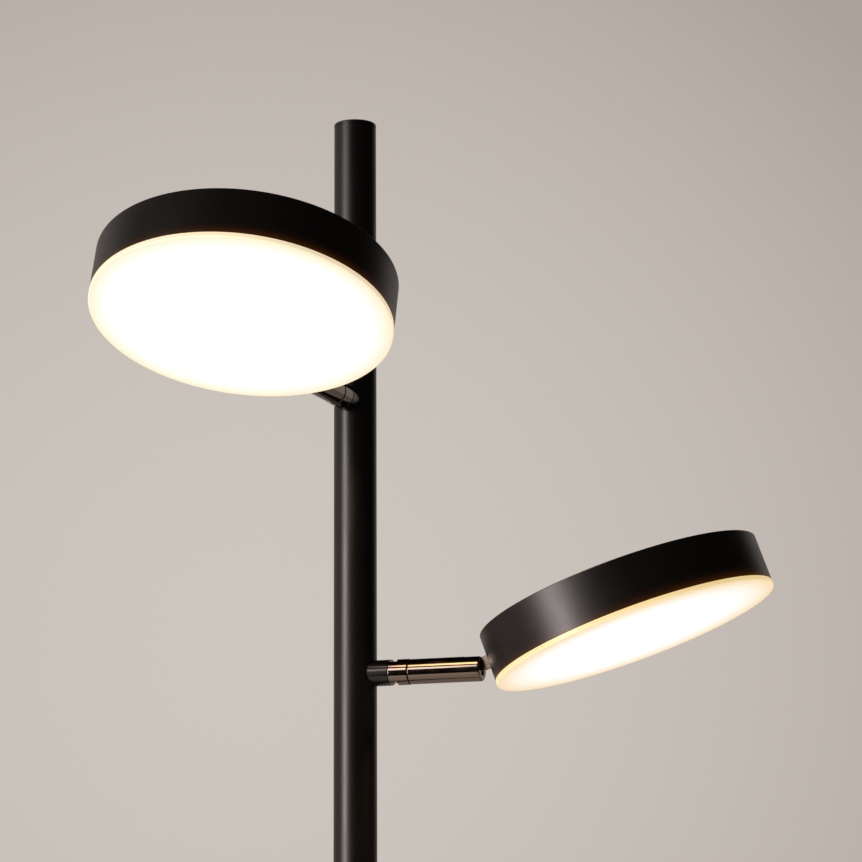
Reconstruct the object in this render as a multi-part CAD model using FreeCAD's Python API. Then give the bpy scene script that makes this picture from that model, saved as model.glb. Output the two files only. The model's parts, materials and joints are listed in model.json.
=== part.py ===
# A free-standing floor lamp: a round weighted base, a slim pole and two disc lamp heads on short arms.
# Millimetres, +Z up. The origin is on the floor under the pole's axis.
# The lower arm points along +X and the upper arm along -Y. Each arm turns about its own length,
# and each head tilts upwards in the slot at the end of its arm.
import FreeCAD, Part
import math
import os

Vector = FreeCAD.Vector

# Fits and clearances
running_clearance = 0.05    # radial, between a bore and what turns or slides in it
face_clearance = 0.05       # between flat faces that turn past each other
fixed_clearance = 0.1       # radial, between fixed pieces that slip together
pocket_clearance = 0.5      # round pieces that lie in a pocket of the cast weight
lead_clearance = 0.3        # round a lead in a drilled passage
lead_gap = 0.3              # between the two ends of a lead that is split at a swivel
bend_share = 0.45           # the most of a run that the bend at its end takes

# Whole lamp
lamp_height = 1500.0
pole_over_upper_arm = 170.0
arms_apart = 160.0          # in height

# Base
base_diameter = 260.0
base_height = 22.0
cover_wall = 1.5
cover_edge_radius = 7.0
floor_pad_height = 2.0
floor_pad_inset = 7.0       # from the base's edge
pad_screw_hole = 7.0        # the pad is open at each screw of the bottom plate
bottom_plate_thickness = 1.5
plate_screw_count = 4
plate_screw_inset = 32.0    # from the base's edge
plate_screw_first_angle = 20.0
plate_screw_diameter = 3.0
plate_screw_length = 10.0
plate_screw_head_diameter = 6.0
plate_screw_head_height = 1.4
plate_screw_head_edge = 0.5
cross_recess_length = 3.2
cross_recess_width = 0.8

# Electrical pieces in the base
driver_length = 70.0
driver_width = 36.0
driver_height = 12.5
driver_corner_radius = 2.0
terminal_inset = 21.0       # from the base's edge to the terminals on the driver's end
driver_side_step = 4.0      # how far the driver lies to the +Y side of the pole's axis
terminal_length = 14.0
terminal_width = 20.0
terminal_height = 10.0
terminal_ways = 3
terminal_screw_hole = 4.0
terminal_screw_depth = 5.0
terminal_wire_hole = 3.3
terminal_wire_height = 3.3  # over the base's plate
lead_diameter = 1.6
base_lead_height = 6.0
base_lead_bend = 4.5
upper_lead_step = 12.0      # how far the upper lead leaves the driver to the +Y side
switch_lead_step = 10.0     # how far the switch lead leaves the driver to the -Y side
gland_bore = 6.2
gland_barrel_diameter = 10.0
gland_barrel_length = 8.0
gland_flange_diameter = 12.6
gland_flange_thickness = 2.5
gland_height = 8.6

# Foot switch in the base
switch_inset = 45.0         # from the base's edge
switch_angle = -45.0
switch_body_diameter = 24.0
switch_body_wall = 1.5
switch_floor = 2.0
bezel_diameter = 30.0
bezel_height = 2.0
bezel_edge_radius = 0.8
button_diameter = 18.0
button_rise = 3.5           # how far the button stands above its bezel
button_edge_radius = 1.5
button_flange_width = 1.3
button_flange_height = 5.5
switch_spring_diameter = 14.0
switch_spring_wall = 1.5

# Pole
pole_diameter = 25.0
pole_wall = 1.5
pole_section_count = 3      # of equal length
coupler_length = 60.0
coupler_wall = 3.0
cap_height = 2.0
cap_edge_radius = 0.6
cap_seam_height = 0.4
cap_seam_depth = 0.5
cap_spigot_length = 12.0
foot_insert_length = 25.0
foot_ring_diameter = 36.0
foot_ring_height = 6.0
foot_ring_edge_radius = 1.5
pole_stud_diameter = 10.0
pole_stud_bore = 7.0
pole_stud_in_insert = 18.0
pole_stud_below_nut = 0.5
nut_across_flats = 17.0
nut_height = 4.0
nut_flange_diameter = 23.0
nut_flange_thickness = 1.5
nut_recess_diameter = 30.0
weight_over_nut = 4.0       # cast iron left between the nut's flange and the cover

# Leads in the pole
pole_lead_step = 2.0        # how far behind the pole's axis an arm's lead climbs
pole_lead_bend = 6.0

# Arms, measured from the pole's axis along the arm
arm_diameter = 15.0
collar_end = 22.5
collar_edge_radius = 0.5
ring_length = 11.3
ring_edge_radius = 0.3
ring_flat_inset = 0.2       # from the ring's back to its two spanner flats
ring_flat_width = 4.5
ring_flat_depth = 1.8
washer_thickness = 0.5
washer_diameter = 13.0
swivel_stud_diameter = 8.0
swivel_stud_bore = 3.2
swivel_stud_start = 4.0
swivel_stud_short = 12.5    # from the stud's end to the tilt pivot
anchor_height = 16.0
stop_pin_diameter = 1.3
stop_pin_circle = 11.0
stop_pin_in_ring = 3.6
stop_pin_in_sleeve = 1.5
stop_groove_spare = 0.1     # beside and beyond the stop pin
swivel_limit = 165.0        # each way from the head's level place
stop_spare_angle = 1.7

# Arm sleeve with its slot
sleeve_diameter = 14.5
pivot_reach = 70.5          # from the pole's axis to the tilt pivot
sleeve_beyond_pivot = 6.9
sleeve_back_edge_radius = 0.3
sleeve_end_radius = 1.0
slot_width = 4.8
slot_under_neck = 0.2       # between the level neck and the slot's floor
slot_behind_pivot = 4.0
lead_bore_diameter = 6.0
lead_bore_length = 11.5     # back from the pivot
retainer_behind_pivot = 20.5
retainer_diameter = 3.0
retainer_tip_diameter = 1.9
retainer_socket = 1.5
retainer_sunk = 0.6
stud_groove_depth = 0.8
stud_groove_spare = 0.15
retainer_shoulder = 0.15    # between the retainer's shoulder and the swivel stud
pivot_screw_diameter = 3.0
pivot_head_diameter = 5.2
pivot_head_height = 1.5
pivot_head_edge = 0.4
pivot_head_sunk = 0.75      # head's outer face below the sleeve's widest point
pivot_socket = 2.0
pivot_socket_depth = 0.9
pivot_thread_wall = 1.05    # sleeve wall left outside the blind thread
pivot_thread_spare = 0.2
tilt_washer_thickness = 0.3
tilt_washer_diameter = 6.0
sleeve_lead_rise = 1.9
sleeve_lead_rise_start = 0.25   # share of the lead's length
sleeve_lead_rise_end = 0.65

# Heads, measured from the tilt pivot
head_diameter = 164.0
head_thickness = 27.0
head_gap = 14.6             # from the pivot to the rim
head_drop = 3.0             # the head's middle below the neck's line
shell_wall = 1.6
shell_back = 2.0
shell_edge_radius = 0.6
shell_lip_radius = 0.3
neck_height = 7.4
neck_stub_diameter = 6.0
neck_stub_length = 8.5
neck_root = 2.0             # how far the round stub starts inside the flat neck
neck_nut_flats = 9.0
neck_nut_height = 3.0
neck_groove_height = 2.45   # lead above the neck's line where it passes the pivot
neck_groove_end = 4.5
neck_groove_drop_end = 10.5
head_lead_back = 2.3        # lead's end behind the pivot
diffuser_proud = 2.6
diffuser_edge_radius = 0.6
diffuser_plate = 2.5
diffuser_spigot_height = 5.0
diffuser_spigot_wall = 2.0
diffuser_clearance = 0.2
board_inset = 16.0          # from the rim to the board's edge
board_thickness = 1.6
board_standoff = 2.0
board_screw_count = 4
board_screw_inset = 6.0     # from the board's edge
board_screw_diameter = 2.5
board_screw_head_diameter = 5.4
board_screw_head_height = 1.8
board_screw_head_edge = 0.6
board_screw_in_boss = 2.8
board_screw_spare = 0.3
boss_diameter = 7.0
chip_length = 3.5
chip_width = 2.8
chip_height = 0.7
chip_ring_step = 15.0
chip_ring_count = 3
chips_per_ring_step = 6
reflector_wall = 0.8
reflector_collar_gap = 0.6
reflector_shoulder = 1.0    # the reflector's inner corner below the head's middle
head_lead_straight = 12.0   # from the rim to where the lead turns to the board
head_lead_landing = 20.0    # from the rim to where it meets the board
head_lead_end = 25.0

upper_arm_height = lamp_height - pole_over_upper_arm
lower_arm_height = upper_arm_height - arms_apart

# Rest places, as photographed: degrees from level about the arm, and up from straight out
arms = [
    {"name": "lower", "azimuth": 0.0, "height": lower_arm_height, "swivel": 2.4, "tilt": 19.2},
    {"name": "upper", "azimuth": -90.0, "height": upper_arm_height, "swivel": 0.8, "tilt": 18.3},
]

# Places worked out from the sizes
origin = Vector(0, 0, 0)
x_axis = Vector(1, 0, 0)
y_axis = Vector(0, 1, 0)
z_axis = Vector(0, 0, 1)
base_radius = base_diameter / 2
plate_radius = base_radius - cover_wall - pocket_clearance
floor_pad_radius = base_radius - floor_pad_inset
plate_screw_reach = base_radius - plate_screw_inset
weight_bottom = floor_pad_height + bottom_plate_thickness
weight_top = base_height - cover_wall
nut_top = weight_top - weight_over_nut
pole_stud_bottom = nut_top - nut_flange_thickness - nut_height - pole_stud_below_nut
lead_radius = lead_diameter / 2
terminal_end = terminal_inset - base_radius
driver_end = terminal_end + terminal_length
driver_face = driver_end + driver_length
switch_from_axis = base_radius - switch_inset
switch_x = switch_from_axis * math.cos(math.radians(switch_angle))
switch_y = switch_from_axis * math.sin(math.radians(switch_angle))
button_low = base_height - face_clearance - button_flange_height
pole_radius = pole_diameter / 2
pole_bore_radius = pole_radius - pole_wall
pole_top = lamp_height - cap_height - cap_seam_height
pole_section_length = (pole_top - base_height) / pole_section_count
first_joint = base_height + pole_section_length
second_joint = first_joint + pole_section_length
ring_end = collar_end + ring_length
ring_flat_start = collar_end + ring_flat_inset
washer_start = ring_end + face_clearance
sleeve_start = washer_start + washer_thickness + face_clearance
sleeve_end = pivot_reach + sleeve_beyond_pivot
slot_start = pivot_reach - slot_behind_pivot
lead_bore_start = pivot_reach - lead_bore_length
retainer_reach = pivot_reach - retainer_behind_pivot
swivel_stud_end = pivot_reach - swivel_stud_short
stop_radius = stop_pin_circle / 2
neck_thickness = slot_width - 2 * tilt_washer_thickness - 2 * face_clearance
head_radius = head_diameter / 2
head_centre = head_gap + head_radius
head_half = head_thickness / 2
shell_bore = head_radius - shell_wall
board_radius = head_radius - board_inset
board_back = head_half - shell_back - board_standoff
board_front = board_back - board_thickness


def rod(radius, start, end):
    """A cylinder between two points."""
    way = end - start
    return Part.makeCylinder(radius, way.Length, start, way)


def rod_x(radius, start, end, y=0.0, z=0.0):
    """A cylinder along X."""
    return rod(radius, Vector(start, y, z), Vector(end, y, z))


def rod_y(radius, start, end, x=0.0, z=0.0):
    """A cylinder along Y."""
    return rod(radius, Vector(x, start, z), Vector(x, end, z))


def rod_z(radius, start, end, x=0.0, y=0.0):
    """A cylinder along Z."""
    return rod(radius, Vector(x, y, start), Vector(x, y, end))


def block(x_range, y_range, z_range):
    """A box between two corners."""
    corner = Vector(x_range[0], y_range[0], z_range[0])
    size = Vector(x_range[1], y_range[1], z_range[1]) - corner
    return Part.makeBox(size.x, size.y, size.z, corner)


def hexagon(across_flats, start, end):
    """A hexagonal prism along Z."""
    corner_radius = across_flats / math.sqrt(3)
    corners = []
    for i in range(7):
        angle = math.radians(60 * i)
        corners.append(Vector(corner_radius * math.cos(angle), corner_radius * math.sin(angle), start))
    face = Part.Face(Part.makePolygon(corners))
    return face.extrude(Vector(0, 0, end - start))


def corner_arc(before, here, after, setback):
    """The arc that rounds a corner, starting and ending the given distance from it."""
    back = (before - here).normalize()
    ahead = (after - here).normalize()
    half_angle = back.getAngle(ahead) / 2
    towards_centre = (back + ahead).normalize()
    radius = setback * math.tan(half_angle)
    middle = here + towards_centre * (radius / math.sin(half_angle) - radius)
    return here + back * setback, middle, here + ahead * setback


def turned(corners, angle=360.0):
    """A solid turned about Z from an outline of (radius, height, corner radius) points."""
    spots = [Vector(corner[0], 0, corner[1]) for corner in corners]
    count = len(spots)
    edges = []
    ends = []
    for i in range(count):
        before, here, after = spots[i - 1], spots[i], spots[(i + 1) % count]
        round_radius = corners[i][2] if len(corners[i]) > 2 else 0.0
        if round_radius > 0:
            half_angle = (before - here).getAngle(after - here) / 2
            arc = corner_arc(before, here, after, round_radius / math.tan(half_angle))
            edges.append(Part.Arc(*arc).toShape())
            ends.append((arc[0], arc[2]))
        else:
            ends.append((here, here))
    for i in range(count):
        start = ends[i - 1][1]
        end = ends[i][0]
        if start.distanceToPoint(end) > 1e-6:
            edges.append(Part.LineSegment(start, end).toShape())
    outline = Part.Wire(Part.__sortEdges__(edges))
    return Part.Face(outline).revolve(origin, z_axis, angle)


def laid_along_x(shape):
    """A shape turned about Z, laid down so that its axis is +X and its first side points down."""
    laid = shape.copy()
    laid.rotate(origin, y_axis, 90)
    return laid


def laid_along_y(shape):
    """A shape built about Z, laid down so that its axis is +Y."""
    laid = shape.copy()
    laid.rotate(origin, x_axis, -90)
    return laid


def moved(shape, x=0.0, y=0.0, z=0.0):
    """A copy of a shape, moved."""
    copy = shape.copy()
    copy.translate(Vector(x, y, z))
    return copy


def tube_along(points, radius, largest_bend):
    """A round tube through straight runs and tangent arcs."""
    edges = []
    start = points[0]
    for before, here, after in zip(points, points[1:], points[2:]):
        half_angle = (before - here).getAngle(after - here) / 2
        shorter_run = min(before.distanceToPoint(here), after.distanceToPoint(here))
        setback = min(bend_share * shorter_run, largest_bend / math.tan(half_angle))
        arc = corner_arc(before, here, after, setback)
        edges.append(Part.LineSegment(start, arc[0]).toShape())
        edges.append(Part.Arc(*arc).toShape())
        start = arc[2]
    edges.append(Part.LineSegment(start, points[-1]).toShape())
    section = Part.Wire(Part.makeCircle(radius, points[0], points[1] - points[0]))
    return Part.Wire(edges).makePipeShell([section], True, False)


def around(shape, count, first_angle=0.0):
    """Copies of a shape, evenly spaced about Z."""
    copies = []
    for i in range(count):
        copy = shape.copy()
        copy.rotate(origin, z_axis, first_angle + 360.0 * i / count)
        copies.append(copy)
    return copies


def on_pole(shape, arm):
    """A piece built along +X, turned to its arm's side of the pole and lifted to its height."""
    placed = shape.copy()
    placed.rotate(origin, z_axis, arm["azimuth"])
    placed.translate(Vector(0, 0, arm["height"]))
    return placed


def on_sleeve(shape, arm):
    """A piece of the turning arm, in its place at rest."""
    turned_shape = shape.copy()
    turned_shape.rotate(origin, x_axis, arm["swivel"])
    return on_pole(turned_shape, arm)


def on_head(shape, arm):
    """A piece of the head, built level and straight out from the pivot, in its place at rest."""
    tilted = shape.copy()
    tilted.rotate(origin, y_axis, -arm["tilt"])
    tilted.translate(Vector(pivot_reach, 0, 0))
    return on_sleeve(tilted, arm)


def in_head(shape):
    """A piece built about the head's own centre, moved to where the centre lies from the pivot."""
    return moved(shape, x=head_centre, z=-head_drop)


# Base

def plate_screw_places(shape):
    """Copies of a shape at the bottom plate's screws."""
    return around(moved(shape, x=plate_screw_reach), plate_screw_count, plate_screw_first_angle)


def make_floor_pad():
    pad = rod_z(floor_pad_radius, 0, floor_pad_height)
    return pad.cut(plate_screw_places(rod_z(pad_screw_hole / 2, 0, floor_pad_height)))


def make_bottom_plate():
    plate = rod_z(plate_radius, floor_pad_height, weight_bottom)
    hole = rod_z(plate_screw_diameter / 2 + fixed_clearance, 0, base_height)
    return plate.cut(plate_screw_places(hole))


def make_bottom_plate_screws():
    head_top = floor_pad_height
    head_low = head_top - plate_screw_head_height
    head = turned([(0, head_low), (plate_screw_head_diameter / 2, head_low, plate_screw_head_edge),
                   (plate_screw_head_diameter / 2, head_top), (0, head_top)])
    shank = rod_z(plate_screw_diameter / 2, head_top, head_top + plate_screw_length)
    cross = block((-cross_recess_length / 2, cross_recess_length / 2),
                  (-cross_recess_width / 2, cross_recess_width / 2),
                  (0, head_top - plate_screw_head_height / 2))
    screw = head.fuse(shank).cut([cross, cross.rotated(origin, z_axis, 90)]).removeSplitter()
    return Part.makeCompound(plate_screw_places(screw))


def lead_channel(start, end, width, top):
    """A round-ended channel milled into the weight from below."""
    way = end - start
    box = block((0, way.Length), (-width / 2, width / 2), (weight_bottom, top))
    box.rotate(origin, z_axis, math.degrees(math.atan2(way.y, way.x)))
    ends = [rod_z(width / 2, weight_bottom, top, x=p.x, y=p.y) for p in (start, end)]
    return moved(box, start.x, start.y).fuse(ends)


def switch_lead_points():
    """The lead from the driver to the foot switch, through the weight's channel."""
    entry = switch_from_axis - switch_body_diameter / 2 + switch_body_wall / 2
    bearing = math.radians(switch_angle)
    turn_x = switch_lead_step
    return [Vector(driver_face, -switch_lead_step, base_lead_height),
            Vector(turn_x, -switch_lead_step, base_lead_height),
            Vector(entry * math.cos(bearing), entry * math.sin(bearing), base_lead_height)]


def make_base_weight():
    edge = cover_edge_radius - cover_wall
    weight = turned([(pole_stud_diameter / 2 + fixed_clearance, weight_bottom), (plate_radius, weight_bottom),
                     (plate_radius, weight_top, edge),
                     (pole_stud_diameter / 2 + fixed_clearance, weight_top)])
    nut_recess = rod_z(nut_recess_diameter / 2, weight_bottom, nut_top)
    side = driver_width / 2 + pocket_clearance
    driver_pocket = block((terminal_end - pocket_clearance, driver_face + pocket_clearance),
                          (driver_side_step - side, driver_side_step + side),
                          (weight_bottom, weight_bottom + driver_height + pocket_clearance))
    gland_side = gland_barrel_diameter / 2 + pocket_clearance
    gland_channel = block((-base_diameter, terminal_end),
                          (driver_side_step - gland_side, driver_side_step + gland_side),
                          (weight_bottom, gland_height + gland_side))
    channel_top = base_lead_height + lead_diameter
    lead_bay = block((driver_face, lead_diameter), (-2 * lead_diameter, upper_lead_step + 2 * lead_diameter),
                     (weight_bottom, channel_top))
    route = switch_lead_points()
    channels = [lead_channel(a, b, 3 * lead_diameter, channel_top) for a, b in zip(route, route[1:])]
    switch_hole = rod_z(switch_body_diameter / 2 + pocket_clearance, 0, base_height, switch_x, switch_y)
    thread = rod_z(plate_screw_diameter / 2 + running_clearance, weight_bottom,
                   floor_pad_height + plate_screw_length + pocket_clearance)
    cuts = [nut_recess, driver_pocket, gland_channel, lead_bay, switch_hole]
    return weight.cut(cuts + channels + plate_screw_places(thread))


def make_base_cover():
    edge = cover_edge_radius
    hole = pole_stud_diameter / 2 + fixed_clearance
    cover = turned([(hole, base_height), (base_radius, base_height, edge), (base_radius, floor_pad_height),
                    (base_radius - cover_wall, floor_pad_height),
                    (base_radius - cover_wall, weight_top, edge - cover_wall), (hole, weight_top)])
    gland_hole = rod_x(gland_barrel_diameter / 2 + fixed_clearance, -base_diameter, terminal_end,
                       driver_side_step, gland_height)
    switch_hole = rod_z(switch_body_diameter / 2 + fixed_clearance, 0, 2 * base_height, switch_x, switch_y)
    return cover.cut([gland_hole, switch_hole])


def make_cable_gland():
    outside = math.sqrt(base_radius ** 2 - driver_side_step ** 2)
    barrel = rod_x(gland_barrel_diameter / 2, -outside - gland_flange_thickness,
                   -outside - gland_flange_thickness + gland_barrel_length, driver_side_step, gland_height)
    depth = gland_flange_thickness + cover_wall
    radius = gland_flange_diameter / 2
    flange = turned([(0, 0), (radius, 0, gland_flange_thickness / 3), (radius, depth), (0, depth)])
    flange = moved(laid_along_x(flange), -outside - gland_flange_thickness, driver_side_step, gland_height)
    flange = flange.cut(rod_z(base_radius, 0, base_height))
    bore = rod_x(gland_bore / 2, -base_diameter, 0, driver_side_step, gland_height)
    return barrel.fuse(flange).cut(bore).removeSplitter()


def make_led_driver():
    half = driver_width / 2
    case = block((driver_end, driver_face), (driver_side_step - half, driver_side_step + half),
                 (weight_bottom, weight_bottom + driver_height))
    upright = [e for e in case.Edges if abs(e.tangentAt(e.FirstParameter).z) > 0.9]
    return case.makeFillet(driver_corner_radius, upright)


def make_terminal_block():
    half = terminal_width / 2
    body = block((terminal_end, driver_end), (driver_side_step - half, driver_side_step + half),
                 (weight_bottom, weight_bottom + terminal_height))
    middle = (terminal_end + driver_end) / 2
    screw_low = weight_bottom + terminal_height - terminal_screw_depth
    wire_z = weight_bottom + terminal_wire_height
    wells = []
    for i in range(terminal_ways):
        place = driver_side_step - half + (i + 0.5) * terminal_width / terminal_ways
        wells.append(rod_z(terminal_screw_hole / 2, screw_low, base_height, middle, place))
        wells.append(rod_x(terminal_wire_hole / 2, terminal_end - terminal_length, middle, place, wire_z))
    return body.cut(wells)


# Foot switch

def at_switch(shape):
    """A piece built about Z, moved to the foot switch."""
    return moved(shape, switch_x, switch_y)


def make_foot_switch_body():
    outer = switch_body_diameter / 2
    inner = outer - switch_body_wall
    body = turned([(0, weight_bottom), (outer, weight_bottom), (outer, base_height), (inner, base_height),
                   (inner, weight_bottom + switch_floor), (0, weight_bottom + switch_floor)])
    socket = tube_along(switch_lead_points(), lead_radius + running_clearance, base_lead_bend)
    return at_switch(body).cut(socket)


def make_foot_switch_bezel():
    outer = bezel_diameter / 2
    inner = button_diameter / 2 + running_clearance
    top = base_height + bezel_height
    return at_switch(turned([(inner, base_height), (outer, base_height), (outer, top, bezel_edge_radius),
                             (inner, top, bezel_edge_radius / 2)]))


def make_foot_switch_button():
    stem = button_diameter / 2
    flange = stem + button_flange_width
    flange_top = base_height - face_clearance
    top = base_height + bezel_height + button_rise
    spring_seat = switch_spring_diameter / 2 + fixed_clearance
    return at_switch(turned([(0, button_low + switch_floor), (spring_seat, button_low + switch_floor),
                             (spring_seat, button_low), (flange, button_low), (flange, flange_top),
                             (stem, flange_top), (stem, top, button_edge_radius), (0, top)]))


def make_foot_switch_spring():
    outer = switch_spring_diameter / 2
    inner = outer - switch_spring_wall
    low = weight_bottom + switch_floor
    high = button_low + switch_floor
    return at_switch(turned([(inner, low), (outer, low), (outer, high), (inner, high)]))


def make_foot_switch_lead():
    return tube_along(switch_lead_points(), lead_radius, base_lead_bend)


# Pole

def make_pole_stud():
    return rod_z(pole_stud_diameter / 2, pole_stud_bottom, base_height + pole_stud_in_insert).cut(
        rod_z(pole_stud_bore / 2, 0, lamp_height))


def make_stud_nut():
    flange = rod_z(nut_flange_diameter / 2, nut_top - nut_flange_thickness, nut_top)
    body = hexagon(nut_across_flats, nut_top - nut_flange_thickness - nut_height, nut_top)
    bore = rod_z(pole_stud_diameter / 2 + running_clearance, 0, base_height)
    return flange.fuse(body).cut(bore).removeSplitter()


def make_pole_foot_insert():
    return rod_z(pole_bore_radius - running_clearance, base_height, base_height + foot_insert_length).cut(
        rod_z(pole_stud_diameter / 2 + running_clearance, 0, lamp_height))


def make_pole_foot_ring():
    inner = pole_radius + fixed_clearance
    outer = foot_ring_diameter / 2
    top = base_height + foot_ring_height
    return turned([(inner, base_height), (outer, base_height), (outer, top, foot_ring_edge_radius),
                   (inner, top)])


def pole_tube(start, end):
    """One length of the pole."""
    return turned([(pole_bore_radius, start), (pole_radius, start), (pole_radius, end),
                   (pole_bore_radius, end)])


def make_pole_upper():
    hole = rod_x(swivel_stud_diameter / 2 + fixed_clearance, 0, pole_diameter)
    return pole_tube(second_joint, pole_top).cut([on_pole(hole, arm) for arm in arms])


def make_pole_couplers():
    outer = pole_bore_radius - fixed_clearance
    half = coupler_length / 2
    couplers = []
    for joint in (first_joint, second_joint):
        couplers.append(turned([(outer - coupler_wall, joint - half), (outer, joint - half),
                                (outer, joint + half), (outer - coupler_wall, joint + half)]))
    return Part.makeCompound(couplers)


def make_pole_end_cap():
    seam_radius = pole_radius - cap_seam_depth
    spigot = pole_bore_radius - fixed_clearance
    flange_low = lamp_height - cap_height
    return turned([(0, lamp_height), (pole_radius, lamp_height, cap_edge_radius), (pole_radius, flange_low),
                   (seam_radius, flange_low), (seam_radius, pole_top), (spigot, pole_top),
                   (spigot, pole_top - cap_spigot_length), (0, pole_top - cap_spigot_length)])


def make_pole_lead(arm):
    """An arm's lead, from the driver up the pole and out through the swivel stud."""
    climb = Vector(-pole_lead_step, 0, 0)
    end = Vector(swivel_stud_end, 0, 0)
    turn = FreeCAD.Rotation(z_axis, arm["azimuth"])
    climb = turn.multVec(climb)
    end = turn.multVec(end)
    low = Vector(climb.x, climb.y, base_lead_height)
    high = Vector(climb.x, climb.y, arm["height"])
    points = [low, high, Vector(end.x, end.y, arm["height"])]
    if arm["azimuth"] == 0:
        points.insert(0, Vector(driver_face, 0, base_lead_height))
    else:
        points.insert(0, Vector(climb.x, upper_lead_step, base_lead_height))
        points.insert(0, Vector(driver_face, upper_lead_step, base_lead_height))
    joint = high - Vector(0, 0, 2 * pole_lead_bend)
    lower_bends = tube_along(points[:-2] + [joint], lead_radius, base_lead_bend)
    upper_bend = tube_along([joint, high, points[-1]], lead_radius, pole_lead_bend)
    return lower_bends.fuse(upper_bend).removeSplitter()


# Arm hardware fixed to the pole

def make_arm_collar(arm):
    radius = arm_diameter / 2
    collar = laid_along_x(turned([(0, 0), (radius, 0), (radius, collar_end, collar_edge_radius),
                                  (0, collar_end)]))
    bore = rod_x(swivel_stud_diameter / 2 + running_clearance, 0, sleeve_end)
    pole = rod_z(pole_radius, -arm_diameter, arm_diameter)
    return on_pole(collar.cut([bore, pole]), arm)


def make_swivel_ring(arm):
    """The ring that the sleeve turns against, with a spanner flat above and below."""
    radius = arm_diameter / 2
    inner = swivel_stud_diameter / 2 + running_clearance
    ring = turned([(inner, collar_end), (radius, collar_end, ring_edge_radius),
                   (radius, ring_end, ring_edge_radius), (inner, ring_end)])
    flat = block((ring_flat_start, ring_flat_start + ring_flat_width), (-radius, radius),
                 (radius - ring_flat_depth, arm_diameter))
    other_flat = flat.mirror(origin, z_axis)
    pin_hole = rod_x(stop_pin_diameter / 2, ring_end - stop_pin_in_ring, sleeve_end, z=-stop_radius)
    return on_pole(laid_along_x(ring).cut([flat, other_flat, pin_hole]), arm)


def make_swivel_stud(arm):
    radius = swivel_stud_diameter / 2
    groove_half = retainer_tip_diameter / 2 + stud_groove_spare
    groove_start = retainer_reach - groove_half
    groove_end = retainer_reach + groove_half
    groove_radius = radius - stud_groove_depth
    bore = swivel_stud_bore / 2
    stud = turned([(bore, swivel_stud_start), (radius, swivel_stud_start), (radius, groove_start),
                   (groove_radius, groove_start), (groove_radius, groove_end), (radius, groove_end),
                   (radius, swivel_stud_end), (bore, swivel_stud_end)])
    return on_pole(laid_along_x(stud), arm)


def make_arm_anchor(arm):
    """The tapped half plug inside the pole that the swivel stud screws into."""
    plug = rod_z(pole_bore_radius - running_clearance, -anchor_height / 2, anchor_height / 2)
    front = block((swivel_stud_start, pole_diameter), (-pole_diameter, pole_diameter),
                  (-anchor_height, anchor_height))
    hole = rod_x(swivel_stud_diameter / 2 + running_clearance, 0, pole_diameter)
    return on_pole(plug.common(front).cut(hole), arm)


def make_swivel_washer(arm):
    washer = turned([(swivel_stud_diameter / 2 + running_clearance, washer_start),
                     (washer_diameter / 2, washer_start),
                     (washer_diameter / 2, washer_start + washer_thickness),
                     (swivel_stud_diameter / 2 + running_clearance, washer_start + washer_thickness)])
    pin_hole = rod_x(stop_pin_diameter / 2, collar_end, sleeve_end, z=-stop_radius)
    return on_pole(laid_along_x(washer).cut(pin_hole), arm)


def make_stop_pin(arm):
    pin = rod_x(stop_pin_diameter / 2, ring_end - stop_pin_in_ring, sleeve_start + stop_pin_in_sleeve,
                z=-stop_radius)
    return on_pole(pin, arm)


# Turning arm

def make_arm_sleeve(arm):
    radius = sleeve_diameter / 2
    body = laid_along_x(turned([(0, sleeve_start), (radius, sleeve_start, sleeve_back_edge_radius),
                                (radius, sleeve_end, sleeve_end_radius), (0, sleeve_end)]))
    stud_bore = rod_x(swivel_stud_diameter / 2 + running_clearance, 0, lead_bore_start)
    lead_bore = rod_x(lead_bore_diameter / 2, lead_bore_start, pivot_reach)
    slot = block((slot_start, 2 * sleeve_end), (-slot_width / 2, slot_width / 2),
                 (-neck_height / 2 - slot_under_neck, sleeve_diameter))
    pin_side = stop_pin_diameter / 2 + stop_groove_spare
    pin_angle = math.degrees(math.asin(stop_pin_diameter / 2 / stop_radius))
    groove_angle = swivel_limit + pin_angle + stop_spare_angle
    groove_end = sleeve_start + stop_pin_in_sleeve + stop_groove_spare
    stop_groove = turned([(stop_radius - pin_side, 0), (stop_radius + pin_side, 0),
                          (stop_radius + pin_side, groove_end), (stop_radius - pin_side, groove_end)],
                         2 * groove_angle)
    stop_groove.rotate(origin, z_axis, -groove_angle)
    retainer_hole = rod_z(retainer_diameter / 2 + running_clearance, 0, sleeve_diameter, x=retainer_reach)
    screw_hole = rod_y(pivot_screw_diameter / 2 + running_clearance, pivot_thread_wall - radius,
                       sleeve_diameter, x=pivot_reach)
    head_seat = rod_y(pivot_head_diameter / 2 + fixed_clearance, pivot_head_seat(), sleeve_diameter,
                      x=pivot_reach)
    cuts = [stud_bore, lead_bore, slot, laid_along_x(stop_groove), retainer_hole, screw_hole, head_seat]
    return on_sleeve(body.cut(cuts), arm)


def pivot_head_seat():
    """How far from the arm's axis the pivot screw's head is seated."""
    return sleeve_diameter / 2 - pivot_head_sunk - pivot_head_height


def make_retaining_screw(arm):
    low = swivel_stud_diameter / 2 + retainer_shoulder
    top = sleeve_diameter / 2 - retainer_sunk
    tip = swivel_stud_diameter / 2 - stud_groove_depth + face_clearance
    screw = rod_z(retainer_diameter / 2, low, top).fuse(rod_z(retainer_tip_diameter / 2, tip, low))
    socket = hexagon(retainer_socket, (low + top) / 2, sleeve_diameter)
    return on_sleeve(moved(screw.cut(socket).removeSplitter(), x=retainer_reach), arm)


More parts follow.
